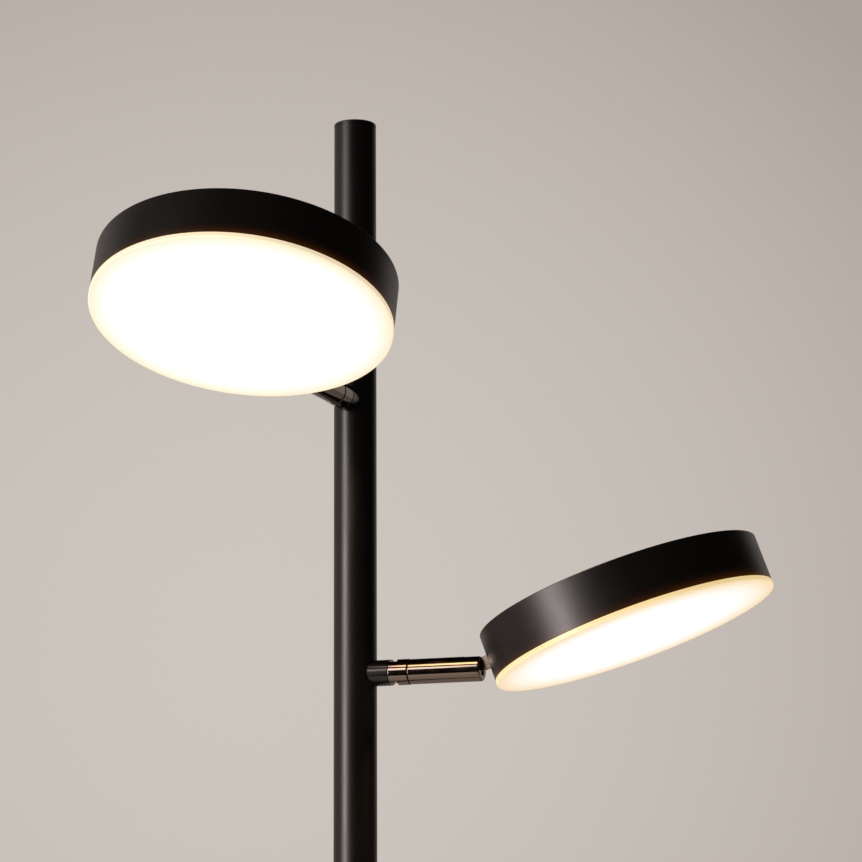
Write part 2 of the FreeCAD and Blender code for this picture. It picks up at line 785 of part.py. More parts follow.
def make_pivot_screw(arm):
    seat = pivot_head_seat()
    tip = pivot_thread_wall + pivot_thread_spare - sleeve_diameter / 2
    face = seat + pivot_head_height
    head = turned([(0, seat), (pivot_head_diameter / 2, seat),
                   (pivot_head_diameter / 2, face, pivot_head_edge), (0, face)])
    screw = head.fuse(rod_z(pivot_screw_diameter / 2, tip, seat))
    socket = hexagon(pivot_socket, face - pivot_socket_depth, sleeve_diameter)
    return on_sleeve(moved(laid_along_y(screw.cut(socket).removeSplitter()), x=pivot_reach), arm)


def make_tilt_washers(arm):
    inner = pivot_screw_diameter / 2 + running_clearance
    outer = tilt_washer_diameter / 2
    low = neck_thickness / 2 + face_clearance / 2
    high = low + tilt_washer_thickness
    washer = laid_along_y(turned([(inner, low), (outer, low), (outer, high), (inner, high)]))
    other = washer.mirror(origin, y_axis)
    return on_sleeve(moved(Part.makeCompound([washer, other]), x=pivot_reach), arm)


def make_sleeve_lead(arm):
    start = swivel_stud_end + lead_gap
    end = pivot_reach - neck_height / 2 - lead_gap
    rise_start = start + (end - start) * sleeve_lead_rise_start
    rise_end = start + (end - start) * sleeve_lead_rise_end
    points = [Vector(start, 0, 0), Vector(rise_start, 0, 0), Vector(rise_end, 0, sleeve_lead_rise),
              Vector(end, 0, sleeve_lead_rise)]
    return on_sleeve(tube_along(points, lead_radius, pole_lead_bend), arm)


# Head

def head_lead_points():
    """The lead through the neck to the board, from the pivot."""
    landing = board_front - head_drop - lead_radius
    return [Vector(-head_lead_back, 0, neck_groove_height), Vector(neck_groove_end, 0, neck_groove_height),
            Vector(neck_groove_drop_end, 0, 0), Vector(head_gap + head_lead_straight, 0, 0),
            Vector(head_gap + head_lead_landing, 0, landing), Vector(head_gap + head_lead_end, 0, landing)]


def make_neck(arm):
    half = neck_thickness / 2
    eye = rod_y(neck_height / 2, -half, half)
    tab = block((0, head_gap + half), (-half, half), (-neck_height / 2, neck_height / 2))
    rim = rod_z(head_radius, -head_thickness, head_thickness, x=head_centre)
    stub = rod_x(neck_stub_diameter / 2, head_gap - neck_root, head_gap + neck_stub_length)
    pivot_hole = rod_y(pivot_screw_diameter / 2 + running_clearance, -slot_width, slot_width)
    route = head_lead_points()[:4]
    route[0] = Vector(-neck_height, 0, neck_groove_height)
    passage = tube_along(route, lead_radius + lead_clearance / 2, pole_lead_bend)
    groove_half = lead_radius + lead_clearance / 2
    groove = block((-neck_height, neck_groove_end), (-groove_half, groove_half),
                   (neck_groove_height, neck_height))
    solid = eye.fuse(tab).cut(rim).fuse(stub.common(rim)).cut([pivot_hole, passage, groove])
    return on_head(solid.removeSplitter(), arm)


def make_neck_nut(arm):
    corner = neck_nut_flats / math.sqrt(3)
    seat = math.sqrt(shell_bore ** 2 - corner ** 2)
    start = head_centre - seat
    nut = laid_along_x(hexagon(neck_nut_flats, start, start + neck_nut_height))
    return on_head(nut.cut(rod_x(neck_stub_diameter / 2 + running_clearance, 0, head_centre)), arm)


def board_screw_places(shape):
    """Copies of a shape at the board's screws."""
    screws_at = moved(shape, x=board_radius - board_screw_inset)
    return around(screws_at, board_screw_count, 180.0 / board_screw_count)


def make_head_shell(arm):
    shell = turned([(0, head_half), (head_radius, head_half, shell_edge_radius),
                    (head_radius, -head_half, shell_lip_radius), (shell_bore, -head_half),
                    (shell_bore, head_half - shell_back, shell_edge_radius), (0, head_half - shell_back)])
    boss = rod_z(boss_diameter / 2, board_back, head_half - shell_back / 2)
    thread = rod_z(board_screw_diameter / 2 + running_clearance, 0,
                   board_back + board_screw_in_boss + board_screw_spare)
    stub_hole = rod_x(neck_stub_diameter / 2 + fixed_clearance, -head_diameter, -head_radius / 2, z=head_drop)
    solid = shell.fuse(board_screw_places(boss)).cut(board_screw_places(thread) + [stub_hole])
    return on_head(in_head(solid.removeSplitter()), arm)


def make_led_board(arm):
    board = rod_z(board_radius, board_front, board_back)
    hole = rod_z(board_screw_diameter / 2 + fixed_clearance, 0, head_half)
    return on_head(in_head(board.cut(board_screw_places(hole))), arm)


def make_led_chips(arm):
    chip = block((-chip_length / 2, chip_length / 2), (-chip_width / 2, chip_width / 2),
                 (board_front - chip_height, board_front))
    chips = []
    for ring in range(1, chip_ring_count + 1):
        chips += around(moved(chip, x=ring * chip_ring_step), ring * chips_per_ring_step, 180.0)
    return on_head(in_head(Part.makeCompound(chips)), arm)


def make_board_screws(arm):
    head_low = board_front - board_screw_head_height
    head = turned([(0, head_low), (board_screw_head_diameter / 2, head_low, board_screw_head_edge),
                   (board_screw_head_diameter / 2, board_front), (0, board_front)])
    screw = head.fuse(rod_z(board_screw_diameter / 2, board_front, board_back + board_screw_in_boss))
    return on_head(in_head(Part.makeCompound(board_screw_places(screw.removeSplitter()))), arm)


def make_reflector(arm):
    """A white dish between the board's edge and the diffuser's spigot, notched for the lead."""
    wall = reflector_wall
    collar = board_radius + reflector_collar_gap
    spigot_top = diffuser_spigot_height - head_half
    outer = shell_bore - diffuser_clearance
    slope_end = outer - diffuser_spigot_wall
    shoulder = -reflector_shoulder
    dish = turned([(collar, board_back), (collar + wall, board_back), (collar + wall, shoulder),
                   (slope_end, spigot_top + wall), (outer, spigot_top + wall), (outer, spigot_top),
                   (slope_end, spigot_top), (collar, shoulder - wall)])
    notch = tube_along(head_lead_points()[2:], lead_radius + lead_clearance, pole_lead_bend)
    return on_head(in_head(dish).cut(notch), arm)


def make_diffuser(arm):
    face = -head_half - diffuser_proud
    spigot = shell_bore - diffuser_clearance
    inner = spigot - diffuser_spigot_wall
    spigot_top = diffuser_spigot_height - head_half
    back = face + diffuser_plate
    opal = turned([(0, face), (head_radius, face, diffuser_edge_radius), (head_radius, -head_half),
                   (spigot, -head_half), (spigot, spigot_top), (inner, spigot_top), (inner, back),
                   (0, back)])
    return on_head(in_head(opal), arm)


def make_head_lead(arm):
    return on_head(tube_along(head_lead_points(), lead_radius, pole_lead_bend), arm)


pieces = {
    "floor_pad": make_floor_pad(),
    "bottom_plate": make_bottom_plate(),
    "bottom_plate_screws": make_bottom_plate_screws(),
    "base_weight": make_base_weight(),
    "base_cover": make_base_cover(),
    "cable_gland": make_cable_gland(),
    "led_driver": make_led_driver(),
    "terminal_block": make_terminal_block(),
    "foot_switch_body": make_foot_switch_body(),
    "foot_switch_bezel": make_foot_switch_bezel(),
    "foot_switch_button": make_foot_switch_button(),
    "foot_switch_spring": make_foot_switch_spring(),
    "foot_switch_lead": make_foot_switch_lead(),
    "pole_stud": make_pole_stud(),
    "stud_nut": make_stud_nut(),
    "pole_foot_insert": make_pole_foot_insert(),
    "pole_foot_ring": make_pole_foot_ring(),
    "pole_lower": pole_tube(base_height, first_joint),
    "pole_middle": pole_tube(first_joint, second_joint),
    "pole_upper": make_pole_upper(),
    "pole_couplers": make_pole_couplers(),
    "pole_end_cap": make_pole_end_cap(),
    "arm_anchors": Part.makeCompound([make_arm_anchor(arm) for arm in arms]),
    "swivel_studs": Part.makeCompound([make_swivel_stud(arm) for arm in arms]),
    "swivel_washers": Part.makeCompound([make_swivel_washer(arm) for arm in arms]),
    "stop_pins": Part.makeCompound([make_stop_pin(arm) for arm in arms]),
}

arm_makers = {
    "pole_lead": make_pole_lead,
    "arm_collar": make_arm_collar,
    "swivel_ring": make_swivel_ring,
    "arm_sleeve": make_arm_sleeve,
    "retaining_screw": make_retaining_screw,
    "pivot_screw": make_pivot_screw,
    "tilt_washers": make_tilt_washers,
    "sleeve_lead": make_sleeve_lead,
    "neck": make_neck,
    "neck_nut": make_neck_nut,
    "head_shell": make_head_shell,
    "led_board": make_led_board,
    "led_chips": make_led_chips,
    "board_screws": make_board_screws,
    "reflector": make_reflector,
    "diffuser": make_diffuser,
    "head_lead": make_head_lead,
}
for arm in arms:
    for name, maker in arm_makers.items():
        pieces[arm["name"] + "_" + name] = maker(arm)

os.makedirs("parts", exist_ok=True)
for name, shape in pieces.items():
    shape.exportStep("parts/" + name + ".step")
    print(name, "solids", len(shape.Solids), "valid", shape.isValid(), "cm3", round(shape.Volume / 1000, 3))
print(len(pieces), "nodes")
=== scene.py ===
import json
import math

import bpy
from bpy.props import (FloatProperty, FloatVectorProperty, IntProperty, PointerProperty,
                       StringProperty)
from mathutils import Matrix, Vector


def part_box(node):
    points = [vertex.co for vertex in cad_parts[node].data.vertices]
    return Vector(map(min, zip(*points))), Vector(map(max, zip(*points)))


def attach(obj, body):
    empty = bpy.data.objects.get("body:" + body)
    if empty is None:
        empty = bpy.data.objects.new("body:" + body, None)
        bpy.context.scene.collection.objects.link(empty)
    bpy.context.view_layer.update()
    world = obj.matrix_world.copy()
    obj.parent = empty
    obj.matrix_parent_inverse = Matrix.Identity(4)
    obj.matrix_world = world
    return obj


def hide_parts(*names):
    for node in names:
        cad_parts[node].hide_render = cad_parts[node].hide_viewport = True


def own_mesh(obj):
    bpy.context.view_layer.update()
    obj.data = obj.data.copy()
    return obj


bl_info = {
    "name": "Twin-head floor lamp",
    "version": (1, 0, 0),
    "blender": (4, 5, 0),
    "location": "3D View > Sidebar > Lamp",
    "description": "Finishes, small pieces, stage and camera for a floor lamp with two disc heads",
    "category": "Object",
}

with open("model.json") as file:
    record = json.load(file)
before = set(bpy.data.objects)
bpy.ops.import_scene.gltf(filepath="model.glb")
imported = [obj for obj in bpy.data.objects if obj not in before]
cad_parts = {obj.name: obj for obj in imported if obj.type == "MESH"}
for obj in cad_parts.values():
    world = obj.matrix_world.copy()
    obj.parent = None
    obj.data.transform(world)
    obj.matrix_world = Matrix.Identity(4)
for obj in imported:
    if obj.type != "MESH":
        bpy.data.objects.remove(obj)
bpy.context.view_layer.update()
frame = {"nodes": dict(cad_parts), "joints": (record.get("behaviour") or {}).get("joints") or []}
nodes = frame["nodes"]
joints = {joint["name"]: joint for joint in frame["joints"]}

MM = 0.001
SIDES = ("lower", "upper")

# The Principled shader's sockets that have a shorter name here.
SOCKET_NAMES = {"base": "Base Color", "specular": "Specular IOR Level", "glow": "Emission Strength"}

# The Mix node's colour sockets, which share their names with its other sockets.
MIX_FIRST, MIX_SECOND, MIX_RESULT = 6, 7, 2

# Nearly all of a noise texture's values lie between these.
NOISE_LOW, NOISE_HIGH = 0.3, 0.7


# Shared helpers

def colour(hex_value):
    """An sRGB hex colour as linear red, green, blue and alpha."""
    parts = [int(hex_value[i:i + 2], 16) / 255 for i in (1, 3, 5)]
    linear = [c / 12.92 if c <= 0.04045 else ((c + 0.055) / 1.055) ** 2.4 for c in parts]
    return (*linear, 1.0)


def add(tree, kind, sockets=None, **settings):
    """Adds a node. A socket is given a value, or another node's output to link."""
    made = tree.nodes.new(kind)
    for name, value in settings.items():
        setattr(made, name, value)
    for name, value in (sockets or {}).items():
        if isinstance(value, bpy.types.NodeSocket):
            tree.links.new(value, made.inputs[name])
        else:
            made.inputs[name].default_value = value
    return made


def new_material(name, **sockets):
    """A material with one Principled shader. Returns the material, its tree and the shader."""
    material = bpy.data.materials.new(name)
    material.use_nodes = True
    tree = material.node_tree
    tree.nodes.clear()
    named = {SOCKET_NAMES.get(key, key.capitalize()): value for key, value in sockets.items()}
    shader = add(tree, "ShaderNodeBsdfPrincipled", named)
    add(tree, "ShaderNodeOutputMaterial", {"Surface": shader.outputs["BSDF"]})
    return material, tree, shader


def grain(tree, size_mm, detail=2.0, stretch=(1, 1, 1)):
    """Noise on Object coordinates whose blobs are about the given size."""
    coordinates = add(tree, "ShaderNodeTexCoord").outputs["Object"]
    mapped = add(tree, "ShaderNodeMapping", {"Vector": coordinates, "Scale": stretch})
    noise = add(tree, "ShaderNodeTexNoise", {
        "Vector": mapped.outputs["Vector"], "Scale": 1 / (size_mm * MM), "Detail": detail})
    return noise.outputs["Fac"]


def spread(tree, noise, low, high):
    """Noise, which stays near a half, as a value between two limits."""
    scaled = add(tree, "ShaderNodeMapRange", {
        "Value": noise, "From Min": NOISE_LOW, "From Max": NOISE_HIGH,
        "To Min": low, "To Max": high})
    return scaled.outputs["Result"]


def raise_surface(tree, shader, height, depth_mm):
    """Bump of the given depth."""
    bump = add(tree, "ShaderNodeBump", {
        "Height": height, "Distance": depth_mm * MM, "Strength": 1.0})
    tree.links.new(bump.outputs["Normal"], shader.inputs["Normal"])


def dress(names, material):
    """Gives CAD nodes a material."""
    for name in names:
        slots = nodes[name].data.materials
        slots.clear()
        slots.append(material)


def both(*names):
    """The node names of both arms' pieces."""
    return [side + "_" + name for side in SIDES for name in names]


def grown(name, tree, values, place):
    """The plain mesh that a Geometry Nodes tree gives, set in its place in the frame."""
    holder = bpy.data.objects.new(name, bpy.data.meshes.new(name))
    bpy.context.scene.collection.objects.link(holder)
    modifier = holder.modifiers.new(name, "NODES")
    modifier.node_group = tree
    for item in tree.interface.items_tree:
        if item.in_out == "INPUT" and item.name in values:
            modifier[item.identifier] = values[item.name]
    graph = bpy.context.evaluated_depsgraph_get()
    mesh = bpy.data.meshes.new_from_object(holder.evaluated_get(graph))
    holder.modifiers.remove(modifier)
    holder.data = mesh
    mesh.transform(place)
    return holder


def new_tree(name, inputs):
    """A Geometry Nodes tree with named inputs. Returns it with its input and output nodes."""
    tree = bpy.data.node_groups.new(name, "GeometryNodeTree")
    tree.interface.new_socket(name="Geometry", in_out="OUTPUT", socket_type="NodeSocketGeometry")
    for label, kind in inputs.items():
        tree.interface.new_socket(name=label, in_out="INPUT", socket_type="NodeSocket" + kind)
    return tree, add(tree, "NodeGroupInput").outputs, add(tree, "NodeGroupOutput")


def close_tree(tree, output, geometry, material):
    """Ends a tree with real geometry and its material."""
    real = add(tree, "GeometryNodeRealizeInstances", {"Geometry": geometry})
    painted = add(tree, "GeometryNodeSetMaterial", {
        "Geometry": real.outputs["Geometry"], "Material": material})
    tree.links.new(painted.outputs["Geometry"], output.inputs["Geometry"])


# Places taken from the frame

def head_frame(side):
    """The head's own frame at rest: X straight out of the pivot, Z out of the head's back."""
    swivel, tilt = joints[side + "_swivel"], joints[side + "_tilt"]
    along = Vector(swivel["axis"])
    roll = -math.radians(sum(swivel["range_deg"]) / 2)
    rise = -math.radians(tilt["range_deg"][0])
    up = Vector((0, 0, 1))
    upright = math.cos(roll) * up + math.sin(roll) * along.cross(up)
    out = math.cos(rise) * along + math.sin(rise) * upright
    back = math.cos(rise) * upright - math.sin(rise) * along
    turn = Matrix((out, back.cross(out), back)).transposed().to_4x4()
    return Matrix.Translation(tilt["pos_m"]) @ turn


def head_middle(side):
    """The head's frame, moved to the middle of its face, with Z out of the back."""
    place = head_frame(side)
    corners = [place.inverted() @ v.co for v in nodes[side + "_diffuser"].data.vertices]
    low = Vector(min(c[i] for c in corners) for i in range(3))
    high = Vector(max(c[i] for c in corners) for i in range(3))
    middle = (low + high) / 2
    middle.z = low.z
    return place @ Matrix.Translation(middle)


# Settings

class LampFinish(bpy.types.PropertyGroup):
    """Colours and pattern sizes of the lamp's finishes."""
    paint: StringProperty(
        name="Black paint", description="Colour of the satin black paint", default="#0B0806")
    head_paint: StringProperty(
        name="Head paint", description="Colour of the heads' black coat", default="#0E0A07")
    nickel: StringProperty(
        name="Black nickel", description="Colour of the polished plating", default="#8C8075")
    grit_mm: FloatProperty(
        name="Paint grit", description="Size of the paint's fine bumps in mm", default=0.9, min=0.1)
    # Colour of the warm glow that is painted on a head's shell beside its lit face.
    painted_glow: FloatVectorProperty(
        name="Spill", description="Light that a face leaves on its rim, as linear colour",
        default=(0.042, 0.011, 0.0), size=3, min=0.0, max=1.0)
    face_glow: FloatVectorProperty(
        name="Face glow", description="Light of a lit face, as linear colour",
        default=(8.0, 4.9, 1.8), size=3, min=0.0, max=20.0)


class LampStage(bpy.types.PropertyGroup):
    """The studio: background, lamps and camera."""
    background: StringProperty(
        name="Background", description="Background colour where it is brightest", default="#CDC6BE")
    background_edge: StringProperty(
        name="Background, far", description="Background colour away from there", default="#ABA29B")
    spot_heading: FloatProperty(
        name="Spot heading", description="Heading of the background's brightest place",
        subtype="ANGLE", default=math.radians(23.3))
    spot_pitch: FloatProperty(
        name="Spot pitch", description="Upward angle of the background's brightest place",
        subtype="ANGLE", default=math.radians(7.06))
    spot_size: FloatProperty(
        name="Spot size", description="How far from there the far colour is reached",
        subtype="ANGLE", default=math.radians(17.0))
    ceiling: StringProperty(
        name="Ceiling", description="Colour of the dark room above the background",
        default="#0A0908")
    ceiling_start: FloatProperty(
        name="Ceiling start", description="Upward angle where the background darkens",
        subtype="ANGLE", default=math.radians(26))
    ceiling_end: FloatProperty(
        name="Ceiling end", description="Upward angle where the background has darkened",
        subtype="ANGLE", default=math.radians(38))
    floor: StringProperty(name="Floor", description="Floor colour", default="#C9C1BA")
    light_tint: StringProperty(
        name="Light tint", description="Colour of the studio lights", default="#FFF2EF")
    side_light: FloatProperty(
        name="Side light", description="Power of the tall light in watts", default=66.0, min=0.0)
    small_light: FloatProperty(
        name="Small light", description="Power of the light that the arms mirror, in watts",
        default=2.0, min=0.0)
    top_light: FloatProperty(
        name="Top light", description="Power of the overhead light in watts", default=14.0, min=0.0)
    ambient: FloatProperty(
        name="Ambient", description="Strength of the soft light from all round",
        default=0.35, min=0.0)
    camera_place: FloatVectorProperty(
        name="Camera place", description="Camera position", subtype="TRANSLATION",
        default=(0.59032, -1.52081, 0.98733), size=3)
    heading: FloatProperty(
        name="Heading", description="Camera's turn from +Y towards -X", subtype="ANGLE",
        default=math.radians(19.6538))
    pitch: FloatProperty(
        name="Pitch", description="Camera's upward tilt", subtype="ANGLE",
        default=math.radians(11.2874))
    roll: FloatProperty(
        name="Roll", description="Camera's roll", subtype="ANGLE", default=math.radians(-0.3222))
    lens_mm: FloatProperty(
        name="Lens", description="Focal length on a 36 mm sensor", default=118.393, min=1.0)


# Materials

# Size of the soft changes of gloss, in mm.
PAINT_CLOUDS = 40
HEAD_CLOUDS = 30
PLATE_CLOUDS = 9

# Roughness of the heads' lacquer, from its glossiest to its dullest places.
HEAD_ROUGH = (0.34, 0.39)

# Depth of the fine bumps, in mm.
PAINT_BUMPS = 0.004
HEAD_BUMPS = 0.003
PLATE_LINES = 0.0015

# The turning lines of the plating: their width in mm, and that as a share of their length. They are
# drawn a few times coarser than real ones, which would be too fine to show.
LINE_WIDTH = 0.35
LINE_STRETCH = 0.01

# The warm glow painted on the shell beside a lit face: where it starts and ends, in mm behind the
# face's front, and how steeply it fades.
PAINTED_GLOW_START = 2.6
PAINTED_GLOW_END = 12
PAINTED_GLOW_POWER = 4.0

# The lit face fades between these distances from its middle, in mm. At these shares of the way it
# has these linear colours, the last one at its edge.
FADE_START = 58
FADE_END = 82
FACE_LEVELS = ((0.14, (1.10, 0.84, 0.80)), (0.33, (0.95, 0.77, 0.71)), (0.57, (0.86, 0.71, 0.60)),
               (0.79, (0.76, 0.62, 0.44)), (0.92, (0.72, 0.56, 0.34)), (1.0, (0.70, 0.52, 0.28)))
# The upper face's edge is painted less yellow than the lower's, for how it is seen more from the
# front.
PAINTED_VIEW_TINT = {"lower": (1.0, 1.0, 1.0), "upper": (1.0, 1.06, 1.25)}
# The wall of the face's proud edge: where it starts and where it is whole, in mm behind the front,
# and its linear colour per head, painted less yellow on the upper head for how it is seen.
WALL_START, WALL_WHOLE = 0.2, 0.7
WALL_GLOW = {"lower": (0.66, 0.50, 0.21, 1), "upper": (0.66, 0.56, 0.38, 1)}
# The acrylic itself: its colour on the face and on that wall, where the darker colour is painted
# shade, and its roughness.
ACRYLIC = "#DDD8CE"
ACRYLIC_WALL_SHADE = "#B0A182"
ACRYLIC_ROUGH = 0.35


def satin_black_paint(finish, name, *, rough, specular):
    """Polyester powder coat, baked: near black, even satin gloss, hardly any texture."""
    material, tree, shader = new_material(name, base=colour(finish.paint), specular=specular)
    fine = grain(tree, finish.grit_mm)
    tree.links.new(spread(tree, grain(tree, PAINT_CLOUDS), *rough), shader.inputs["Roughness"])
    raise_surface(tree, shader, fine, PAINT_BUMPS)
    return material


def head_distances(tree, side):
    """How far a point is from the head's axis, and how far behind the front of its face."""
    inverse = head_middle(side).inverted()
    coordinates = add(tree, "ShaderNodeTexCoord").outputs["Object"]
    centred = add(tree, "ShaderNodeMapping", {
        "Vector": coordinates, "Location": inverse.to_translation(),
        "Rotation": inverse.to_euler()})
    flat = add(tree, "ShaderNodeVectorMath", {0: centred.outputs["Vector"], 1: (1, 1, 0)},
               operation="MULTIPLY")
    radius = add(tree, "ShaderNodeVectorMath", {0: flat.outputs["Vector"]}, operation="LENGTH")
    behind = add(tree, "ShaderNodeSeparateXYZ", {"Vector": centred.outputs["Vector"]})
    return radius.outputs["Value"], behind.outputs["Z"]


def head_coat(finish, side):
    """Sprayed satin lacquer on spun aluminium: as even as the pole's coat and a little warmer.

    A faint warm glow is painted on the lacquer beside the lit face's edge."""
    material, tree, shader = new_material(
        "lacquered_aluminium_" + side, base=colour(finish.head_paint), specular=0.5, glow=1.0)
    behind = head_distances(tree, side)[1]
    # Painted glow: the shell gives off warm light that fades away behind the face.
    nearness = add(tree, "ShaderNodeMapRange", {
        "Value": behind, "From Min": PAINTED_GLOW_START * MM, "From Max": PAINTED_GLOW_END * MM,
        "To Min": 1.0, "To Max": 0.0})
    painted_glow = add(tree, "ShaderNodeMath", {0: nearness.outputs["Result"], 1: PAINTED_GLOW_POWER},
                operation="POWER")
    glow = add(tree, "ShaderNodeMix", {
        "Factor": painted_glow.outputs["Value"], MIX_FIRST: (0, 0, 0, 1), MIX_SECOND: (*finish.painted_glow, 1)},
        data_type="RGBA")
    tree.links.new(glow.outputs[MIX_RESULT], shader.inputs["Emission Color"])
    tree.links.new(spread(tree, grain(tree, HEAD_CLOUDS), *HEAD_ROUGH), shader.inputs["Roughness"])
    raise_surface(tree, shader, grain(tree, finish.grit_mm), HEAD_BUMPS)
    return material


def black_nickel(finish, side, name, *, rough):
    """Black nickel plate on turned brass: a dark mirror with faint turning lines round the arm."""
    material, tree, shader = new_material(
        name + "_" + side, base=colour(finish.nickel), metallic=1.0)
    along = joints[side + "_swivel"]["axis"]
    stretch = [LINE_STRETCH + (1 - LINE_STRETCH) * abs(part) for part in along]
    lines = grain(tree, LINE_WIDTH, stretch=stretch, detail=1.0)
    tree.links.new(spread(tree, grain(tree, PLATE_CLOUDS), *rough), shader.inputs["Roughness"])
    raise_surface(tree, shader, lines, PLATE_LINES)
    return material


def opal_face(finish, side):
    """Opal acrylic, lit from behind: bright and even, with a softer, warmer edge.

    The wall of its proud edge glows a deeper yellow, painted per head; its darker colour is painted
    shade."""
    material, tree, shader = new_material(
        "opal_acrylic_" + side, roughness=ACRYLIC_ROUGH, glow=1.0)
    radius, behind = head_distances(tree, side)
    share = add(tree, "ShaderNodeMapRange", {
        "Value": radius, "From Min": FADE_START * MM, "From Max": FADE_END * MM})
    ramp = add(tree, "ShaderNodeValToRGB", {"Fac": share.outputs["Result"]})
    stops = ramp.color_ramp
    stops.interpolation = "EASE"
    stops.elements.remove(stops.elements[1])
    stops.elements[0].position = 0.0
    stops.elements[0].color = (*finish.face_glow, 1)
    for position, level in FACE_LEVELS:
        # Each head's edge colours get the tint painted for how that head is seen.
        tinted = [part * tint for part, tint in zip(level, PAINTED_VIEW_TINT[side])]
        stops.elements.new(position).color = (*tinted, 1)
    wall = add(tree, "ShaderNodeMapRange", {
        "Value": behind, "From Min": WALL_START * MM, "From Max": WALL_WHOLE * MM})
    # On the wall, the glow is painted per head and the darker acrylic colour is painted shade.
    for socket, on_face, on_wall in (("Emission Color", ramp.outputs["Color"], WALL_GLOW[side]),
                                     ("Base Color", colour(ACRYLIC), colour(ACRYLIC_WALL_SHADE))):
        mix = add(tree, "ShaderNodeMix", {
            "Factor": wall.outputs["Result"], MIX_FIRST: on_face, MIX_SECOND: on_wall},
            data_type="RGBA")
        tree.links.new(mix.outputs[MIX_RESULT], shader.inputs[socket])
    return material


# How much larger a finish's patches of colour are than its grain.
PATCH_RATIO = 6


def plain_finish(name, first, second=None, *, grain_mm, depth_mm, rough, **sockets):
    """A finish whose grain varies its roughness and height. A second colour adds soft patches."""
    material, tree, shader = new_material(
        name, base=colour(first), roughness=sum(rough) / 2, **sockets)
    texture = grain(tree, grain_mm)
    tree.links.new(spread(tree, texture, *rough), shader.inputs["Roughness"])
    raise_surface(tree, shader, texture, depth_mm)
    if second:
        patches = spread(tree, grain(tree, PATCH_RATIO * grain_mm), 0.0, 1.0)
        mix = add(tree, "ShaderNodeMix", {
            "Factor": patches, MIX_FIRST: colour(first), MIX_SECOND: colour(second)},
            data_type="RGBA")
        tree.links.new(mix.outputs[MIX_RESULT], shader.inputs["Base Color"])
    return material


# Operators

class LAMP_OT_coat_pole(bpy.types.Operator):
    """Coats the pole, its collars and the base cover"""
    bl_idname = "lamp.coat_pole"
    bl_label = "Coat the pole and base"

    def execute(self, context):
        finish = context.scene.lamp_finish
        paint = satin_black_paint(
            finish, "powder_coated_steel", rough=(0.34, 0.39), specular=0.5)
        dress(["pole_lower", "pole_middle", "pole_upper", "pole_end_cap", "pole_foot_ring",
               "base_cover"], paint)
        glossier = satin_black_paint(
            finish, "powder_coated_brass", rough=(0.15, 0.19), specular=0.6)
        dress(both("arm_collar"), glossier)
        return {"FINISHED"}


class LAMP_OT_plate_arms(bpy.types.Operator):
    """Plates the turning arms, their rings and the heads' necks"""
    bl_idname = "lamp.plate_arms"
    bl_label = "Plate the arms"

    def execute(self, context):
        finish = context.scene.lamp_finish
        for side in SIDES:
            plate = black_nickel(finish, side, "black_nickel", rough=(0.07, 0.12))
            dress([side + name for name in ("_swivel_ring", "_arm_sleeve", "_pivot_screw")], plate)
            duller = black_nickel(finish, side, "satin_nickel", rough=(0.26, 0.32))
            dress([side + "_neck"], duller)
            if side == "lower":
                dress(["foot_switch_bezel"], plate)
        return {"FINISHED"}


class LAMP_OT_coat_heads(bpy.types.Operator):
    """Coats the head shells"""
    bl_idname = "lamp.coat_heads"
    bl_label = "Coat the heads"

    def execute(self, context):
        for side in SIDES:
            dress([side + "_head_shell"], head_coat(context.scene.lamp_finish, side))
        return {"FINISHED"}


class LAMP_OT_light_faces(bpy.types.Operator):
    """Lights the opal faces"""
    bl_idname = "lamp.light_faces"
    bl_label = "Light the faces"

    def execute(self, context):
        for side in SIDES:
            dress([side + "_diffuser"], opal_face(context.scene.lamp_finish, side))
        return {"FINISHED"}


